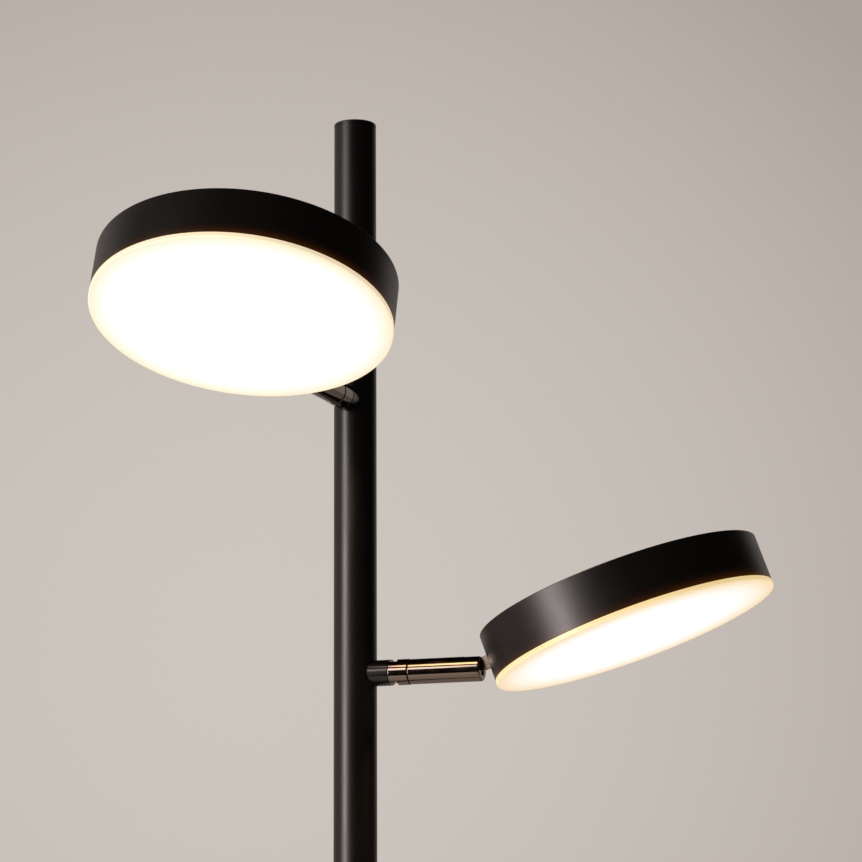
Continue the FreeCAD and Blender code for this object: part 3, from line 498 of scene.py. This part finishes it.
class LAMP_OT_finish_inner(bpy.types.Operator):
    """Finishes what is inside the base, the pole, the arms and the heads"""
    bl_idname = "lamp.finish_inner"
    bl_label = "Finish the inner pieces"

    def execute(self, context):
        # Zinc plate on turned and pressed steel: pale grey with a faint blue and soft scratches.
        zinc = plain_finish("zinc_plated_steel", "#B9BCBD", "#A7ACB0",
                            grain_mm=1.2, depth_mm=0.004, rough=(0.28, 0.42), metallic=1.0)
        dress(["bottom_plate", "bottom_plate_screws", "pole_stud", "stud_nut", "pole_foot_insert",
               "pole_couplers", "arm_anchors", "swivel_studs", "stop_pins"], zinc)
        dress(both("retaining_screw", "neck_nut", "board_screws"), zinc)
        # Grey iron as cast in sand: dark, dull and rough, with the sand's grain.
        iron = plain_finish("sand_cast_iron", "#3A3835", "#2C2A28",
                            grain_mm=1.5, depth_mm=0.12, rough=(0.60, 0.85), metallic=0.6)
        dress(["base_weight"], iron)
        # Closed-cell foam pad: matte charcoal with open cells.
        dress(["floor_pad"], plain_finish("cell_foam", "#2B2B2C", "#232324",
                                          grain_mm=0.8, depth_mm=0.10, rough=(0.85, 0.97)))
        # Moulded nylon: fine spark-eroded texture from the tool.
        nylon = plain_finish("moulded_nylon", "#141414", "#1A1A1A",
                             grain_mm=0.5, depth_mm=0.012, rough=(0.42, 0.55))
        dress(["cable_gland", "foot_switch_body", "foot_switch_button"], nylon)
        # Polycarbonate case: off white, smooth with a light texture.
        case = plain_finish("polycarbonate_case", "#E6E4DE", "#DEDBD3",
                            grain_mm=0.7, depth_mm=0.008, rough=(0.38, 0.48))
        dress(["led_driver", "terminal_block"], case)
        # Skived fluoropolymer washers: milky white and waxy.
        dress(both("tilt_washers"), plain_finish("skived_fluoropolymer", "#EDECE6", "#E4E3DC",
                                                 grain_mm=0.4, depth_mm=0.005, rough=(0.35, 0.45)))
        # Graphite-filled friction washers: near black and dull.
        dress(["swivel_washers"], plain_finish("graphite_filled_nylon", "#151413",
                                               grain_mm=0.4, depth_mm=0.005, rough=(0.50, 0.60)))
        # Extruded PVC insulation: black, soft gloss.
        pvc = plain_finish("extruded_pvc", "#121110",
                           grain_mm=2.0, depth_mm=0.010, rough=(0.40, 0.50))
        dress(["foot_switch_lead"], pvc)
        dress(both("pole_lead", "sleeve_lead", "head_lead"), pvc)
        # White solder mask on an aluminium-core board: smooth and slightly glossy.
        dress(both("led_board"), plain_finish("white_solder_mask", "#EFEFEA",
                                              grain_mm=3.0, depth_mm=0.004, rough=(0.30, 0.38)))
        # Pressed microcellular reflector: bright matte white.
        dress(both("reflector"), plain_finish("microcellular_reflector", "#F2F1EC",
                                              grain_mm=0.6, depth_mm=0.010, rough=(0.60, 0.72)))
        return {"FINISHED"}


# Steps in each turn of the spring, and sides of its wire.
COIL_STEPS = 32
WIRE_SIDES = 12


class LAMP_OT_wind_spring(bpy.types.Operator):
    """Winds the return spring under the foot switch's button"""
    bl_idname = "lamp.wind_spring"
    bl_label = "Wind the switch spring"
    wire_mm: FloatProperty(name="Wire", description="Wire diameter in mm", default=1.3, min=0.1)
    turns: FloatProperty(name="Turns", description="Turns of the spring", default=4.5, min=1.0)

    def execute(self, context):
        low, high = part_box("foot_switch_spring")
        wire = self.wire_mm * MM
        tree, given, output = new_tree("wound_spring", {
            "Radius": "Float", "Height": "Float", "Turns": "Float", "Wire radius": "Float"})
        coil = add(tree, "GeometryNodeCurveSpiral", {
            "Resolution": COIL_STEPS, "Rotations": given["Turns"], "Height": given["Height"],
            "Start Radius": given["Radius"], "End Radius": given["Radius"]})
        section = add(tree, "GeometryNodeCurvePrimitiveCircle", {
            "Resolution": WIRE_SIDES, "Radius": given["Wire radius"]})
        tube = add(tree, "GeometryNodeCurveToMesh", {
            "Curve": coil.outputs["Curve"], "Profile Curve": section.outputs["Curve"],
            "Fill Caps": True})
        smooth = add(tree, "GeometryNodeSetShadeSmooth", {"Geometry": tube.outputs["Mesh"]})
        # Hard-drawn music wire: bright and smooth.
        steel = plain_finish("music_wire", "#A9A7A2",
                             grain_mm=0.5, depth_mm=0.002, rough=(0.22, 0.30), metallic=1.0)
        close_tree(tree, output, smooth.outputs["Geometry"], steel)
        middle = (Vector(low) + Vector(high)) / 2
        place = Matrix.Translation((middle.x, middle.y, low[2] + wire / 2))
        spring = grown("switch_spring", tree, {
            "Radius": (high[0] - low[0]) / 2 - wire / 2, "Height": high[2] - low[2] - wire,
            "Turns": self.turns, "Wire radius": wire / 2}, place)
        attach(spring, "root")
        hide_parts("foot_switch_spring")
        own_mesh(spring)
        return {"FINISHED"}


class LAMP_OT_set_chips(bpy.types.Operator):
    """Sets rings of light-emitting chips on each head's board"""
    bl_idname = "lamp.set_chips"
    bl_label = "Set the chips"
    ring_step_mm: FloatProperty(
        name="Ring step", description="Distance between rings in mm", default=15.0, min=1.0)
    chip_mm: FloatVectorProperty(
        name="Chip", description="Length, width and height of a chip in mm",
        default=(3.5, 2.8, 0.7), size=3)
    rings: IntProperty(name="Rings", description="Number of rings", default=3, min=1, max=8)
    per_ring: IntProperty(
        name="Per ring", description="Chips that each ring adds", default=6, min=1)
    window_share: FloatProperty(
        name="Window", description="Window's size as a share of the chip's", default=0.7, min=0.1,
        max=1.0)
    window_proud_mm: FloatProperty(
        name="Window height", description="What the window adds to the height in mm", default=0.1,
        min=0.0)

    def execute(self, context):
        length, width, height = (size * MM for size in self.chip_mm)
        # Epoxy package with a phosphor window: white frame, yellow middle.
        package = plain_finish("chip_package", "#ECEAE2",
                               grain_mm=0.5, depth_mm=0.002, rough=(0.35, 0.45))
        phosphor = plain_finish("phosphor_window", "#E8C84A", "#DDB93A",
                                grain_mm=0.3, depth_mm=0.002, rough=(0.25, 0.35))
        tree, given, output = new_tree("chip_rings", {
            "Ring step": "Float", "Package": "Vector", "Window": "Vector"})
        body = add(tree, "GeometryNodeMeshCube", {"Size": given["Package"]})
        framed = add(tree, "GeometryNodeSetMaterial", {
            "Geometry": body.outputs["Mesh"], "Material": package})
        window = add(tree, "GeometryNodeMeshCube", {"Size": given["Window"]})
        glowing = add(tree, "GeometryNodeSetMaterial", {
            "Geometry": window.outputs["Mesh"], "Material": phosphor})
        chip = add(tree, "GeometryNodeJoinGeometry")
        for part in (framed, glowing):
            tree.links.new(part.outputs["Geometry"], chip.inputs["Geometry"])
        rings = add(tree, "GeometryNodeJoinGeometry")
        for ring in range(1, self.rings + 1):
            radius = add(tree, "ShaderNodeMath", {0: given["Ring step"], 1: float(ring)},
                         operation="MULTIPLY")
            circle = add(tree, "GeometryNodeMeshCircle", {
                "Vertices": ring * self.per_ring, "Radius": radius.outputs["Value"]})
            tree.links.new(circle.outputs["Mesh"], rings.inputs["Geometry"])
        outward = add(tree, "FunctionNodeAlignRotationToVector", {
            "Vector": add(tree, "GeometryNodeInputPosition").outputs["Position"]}, axis="X")
        placed = add(tree, "GeometryNodeInstanceOnPoints", {
            "Points": rings.outputs["Geometry"], "Instance": chip.outputs["Geometry"],
            "Rotation": outward.outputs["Rotation"]})
        real = add(tree, "GeometryNodeRealizeInstances", {"Geometry": placed.outputs["Instances"]})
        tree.links.new(real.outputs["Geometry"], output.inputs["Geometry"])
        for side in SIDES:
            face = head_middle(side)
            heights = [(face.inverted() @ v.co).z for v in nodes[side + "_led_chips"].data.vertices]
            place = face @ Matrix.Translation((0, 0, (min(heights) + max(heights)) / 2))
            window_size = (self.window_share * length, self.window_share * width,
                           height + self.window_proud_mm * MM)
            chips = grown(side + "_chips", tree, {
                "Ring step": self.ring_step_mm * MM, "Package": (length, width, height),
                "Window": window_size}, place)
            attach(chips, side + "_head")
            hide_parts(side + "_led_chips")
        return {"FINISHED"}


# What the lights point at, in m.
LIT_POINT = (0, 0, 1.2)
# The side lights: angle round the lamp to the camera's right, distance, height, and size, in
# degrees and m.
TALL_LIGHT = (-56, 3.0, 1.3, (0.75, 1.7))
SMALL_LIGHT = (-41, 1.7, 1.72, (0.25, 0.63))
# The overhead light: distance away from the camera, to its left, and up, and size, in m.
TOP_LIGHT = (0.5, 0.3, 3.2, (1.2, 1.2))
# The drape: first and last angle round the lamp to the camera's right, distance, and height, in
# degrees and m.
DRAPE = (-46, 128, 1.75, 5.0)
DRAPE_STEPS = 24
# Half the floor's width, in m.
FLOOR_REACH = 14.0
AMBIENT_TINT = "#FFFBF6"


class LAMP_OT_build_stage(bpy.types.Operator):
    """Lays the floor and sets the background and the studio lights"""
    bl_idname = "lamp.build_stage"
    bl_label = "Build the stage"

    def execute(self, context):
        stage = context.scene.lamp_stage
        lay_floor(stage)
        set_world(stage, context.scene)
        tint = colour(stage.light_tint)[:3]
        for name, setting, watts in (("tall_side_light", TALL_LIGHT, stage.side_light),
                                     ("small_side_light", SMALL_LIGHT, stage.small_light)):
            angle, distance, height, size = setting
            place = round_the_lamp(stage, angle) * distance + Vector((0, 0, height))
            set_light(name, place, size, watts, tint)
        away, left, height, size = TOP_LIGHT
        forward, right = stage_directions(stage)
        above = (away * forward - left * right) + Vector((0, 0, height))
        overhead = set_light("overhead_light", above, size, stage.top_light, tint)
        overhead.visible_glossy = False
        hang_drape("dark_drape", stage, *DRAPE)
        return {"FINISHED"}


def stage_directions(stage):
    """Level directions away from the camera and to its right."""
    forward = Vector((-math.sin(stage.heading), math.cos(stage.heading), 0))
    return forward, forward.cross(Vector((0, 0, 1)))


def round_the_lamp(stage, degrees):
    """The level direction from the lamp at an angle to the right of the camera."""
    forward, right = stage_directions(stage)
    angle = math.radians(degrees)
    return math.sin(angle) * right - math.cos(angle) * forward


def lay_floor(stage):
    """A pale matte floor, painted board, with a soft wide mottle."""
    corners = [(x * FLOOR_REACH, y * FLOOR_REACH, 0)
               for x, y in ((-1, -1), (1, -1), (1, 1), (-1, 1))]
    mesh = bpy.data.meshes.new("floor")
    mesh.from_pydata(corners, [], [(0, 1, 2, 3)])
    floor = bpy.data.objects.new("floor", mesh)
    bpy.context.scene.collection.objects.link(floor)
    paint = plain_finish("painted_floor", stage.floor,
                         grain_mm=300.0, depth_mm=0.0, rough=(0.75, 0.85))
    mesh.materials.append(paint)


def set_world(stage, scene):
    """A pale background that is dark high up, seen and mirrored as it is, and a soft even light."""
    world = bpy.data.worlds.new("studio")
    world.use_nodes = True
    scene.world = world
    tree = world.node_tree
    tree.nodes.clear()
    direction = add(tree, "ShaderNodeTexCoord").outputs["Generated"]
    heading, pitch = stage.spot_heading, stage.spot_pitch
    spot = (-math.sin(heading) * math.cos(pitch), math.cos(heading) * math.cos(pitch),
            math.sin(pitch))
    nearness = add(tree, "ShaderNodeVectorMath", {0: direction, 1: spot}, operation="DOT_PRODUCT")
    share = add(tree, "ShaderNodeMapRange", {
        "Value": nearness.outputs["Value"], "From Min": 1.0, "From Max": math.cos(stage.spot_size)})
    wall = add(tree, "ShaderNodeMix", {
        "Factor": share.outputs["Result"], MIX_FIRST: colour(stage.background),
        MIX_SECOND: colour(stage.background_edge)}, data_type="RGBA")
    rise = add(tree, "ShaderNodeSeparateXYZ", {"Vector": direction})
    high = add(tree, "ShaderNodeMapRange", {
        "Value": rise.outputs["Z"], "From Min": math.sin(stage.ceiling_start),
        "From Max": math.sin(stage.ceiling_end)})
    room = add(tree, "ShaderNodeMix", {
        "Factor": high.outputs["Result"], MIX_FIRST: wall.outputs[MIX_RESULT],
        MIX_SECOND: colour(stage.ceiling)}, data_type="RGBA")
    shown = add(tree, "ShaderNodeBackground", {"Color": room.outputs[MIX_RESULT], "Strength": 1.0})
    soft = add(tree, "ShaderNodeBackground", {
        "Color": colour(AMBIENT_TINT), "Strength": stage.ambient})
    path = add(tree, "ShaderNodeLightPath").outputs
    direct = path["Is Camera Ray"]
    for ray in ("Is Glossy Ray", "Is Transmission Ray"):
        either = add(tree, "ShaderNodeMath", {0: direct, 1: path[ray]}, operation="MAXIMUM")
        direct = either.outputs["Value"]
    chosen = add(tree, "ShaderNodeMixShader", {"Fac": direct})
    tree.links.new(soft.outputs["Background"], chosen.inputs[1])
    tree.links.new(shown.outputs["Background"], chosen.inputs[2])
    add(tree, "ShaderNodeOutputWorld", {"Surface": chosen.outputs["Shader"]})


def set_light(name, place, size, watts, tint):
    """A soft rectangular light that points at the lamp, not seen by the camera."""
    data = bpy.data.lights.new(name, "AREA")
    data.shape = "RECTANGLE"
    data.size, data.size_y = size
    data.energy = watts
    data.color = tint
    light = bpy.data.objects.new(name, data)
    aim = (Vector(LIT_POINT) - place).to_track_quat("-Z", "Y").to_matrix().to_4x4()
    light.matrix_world = Matrix.Translation(place) @ aim
    light.visible_camera = False
    bpy.context.scene.collection.objects.link(light)
    return light


def hang_drape(name, stage, first, last, radius, height):
    """A black drape round the camera's side, which only reflections show."""
    points = []
    for step in range(DRAPE_STEPS + 1):
        foot = round_the_lamp(stage, first + (last - first) * step / DRAPE_STEPS) * radius
        points += [foot, foot + Vector((0, 0, height))]
    faces = [(2 * i, 2 * i + 1, 2 * i + 3, 2 * i + 2) for i in range(DRAPE_STEPS)]
    mesh = bpy.data.meshes.new(name)
    mesh.from_pydata(points, [], faces)
    drape = bpy.data.objects.new(name, mesh)
    velvet = plain_finish("black_velvet", "#0A0A0A", grain_mm=50.0, depth_mm=0.0, rough=(0.9, 1.0))
    mesh.materials.append(velvet)
    drape.visible_camera = drape.visible_diffuse = drape.visible_shadow = False
    bpy.context.scene.collection.objects.link(drape)


# Width of the camera's sensor, in mm.
SENSOR_WIDTH = 36.0


class LAMP_OT_place_camera(bpy.types.Operator):
    """Places the camera as the photograph was taken"""
    bl_idname = "lamp.place_camera"
    bl_label = "Place the camera"

    def execute(self, context):
        stage = context.scene.lamp_stage
        level, right = stage_directions(stage)
        forward = math.cos(stage.pitch) * level + math.sin(stage.pitch) * Vector((0, 0, 1))
        up = right.cross(forward)
        cosine, sine = math.cos(stage.roll), math.sin(stage.roll)
        turned_right = cosine * right + sine * up
        turned_up = cosine * up - sine * right
        data = bpy.data.cameras.new("camera")
        data.sensor_width = SENSOR_WIDTH
        data.lens = stage.lens_mm
        data.dof.use_dof = False
        camera = bpy.data.objects.new("camera", data)
        turn = Matrix((turned_right, turned_up, -forward)).transposed().to_4x4()
        camera.matrix_world = Matrix.Translation(stage.camera_place) @ turn
        context.scene.collection.objects.link(camera)
        context.scene.camera = camera
        context.scene.view_settings.view_transform = "Standard"
        return {"FINISHED"}


OPERATORS = (
    LAMP_OT_place_camera,
    LAMP_OT_coat_pole,
    LAMP_OT_plate_arms,
    LAMP_OT_coat_heads,
    LAMP_OT_light_faces,
    LAMP_OT_finish_inner,
    LAMP_OT_wind_spring,
    LAMP_OT_set_chips,
    LAMP_OT_build_stage,
)


class LAMP_PT_panel(bpy.types.Panel):
    """Lists the lamp's steps"""
    bl_idname = "LAMP_PT_panel"
    bl_label = "Floor lamp"
    bl_space_type = "VIEW_3D"
    bl_region_type = "UI"
    bl_category = "Lamp"

    def draw(self, context):
        for operator in OPERATORS:
            self.layout.operator(operator.bl_idname)
        for group in (context.scene.lamp_finish, context.scene.lamp_stage):
            for name in group.__annotations__:
                self.layout.prop(group, name)


CLASSES = (LampFinish, LampStage, *OPERATORS, LAMP_PT_panel)


def register():
    for each in CLASSES:
        bpy.utils.register_class(each)
    bpy.types.Scene.lamp_finish = PointerProperty(type=LampFinish)
    bpy.types.Scene.lamp_stage = PointerProperty(type=LampStage)


def unregister():
    del bpy.types.Scene.lamp_stage
    del bpy.types.Scene.lamp_finish
    for each in reversed(CLASSES):
        bpy.utils.unregister_class(each)


def main():
    register()
    for operator in OPERATORS:
        group, name = operator.bl_idname.split(".")
        getattr(getattr(bpy.ops, group), name)()


if __name__ == "__main__":
    main()
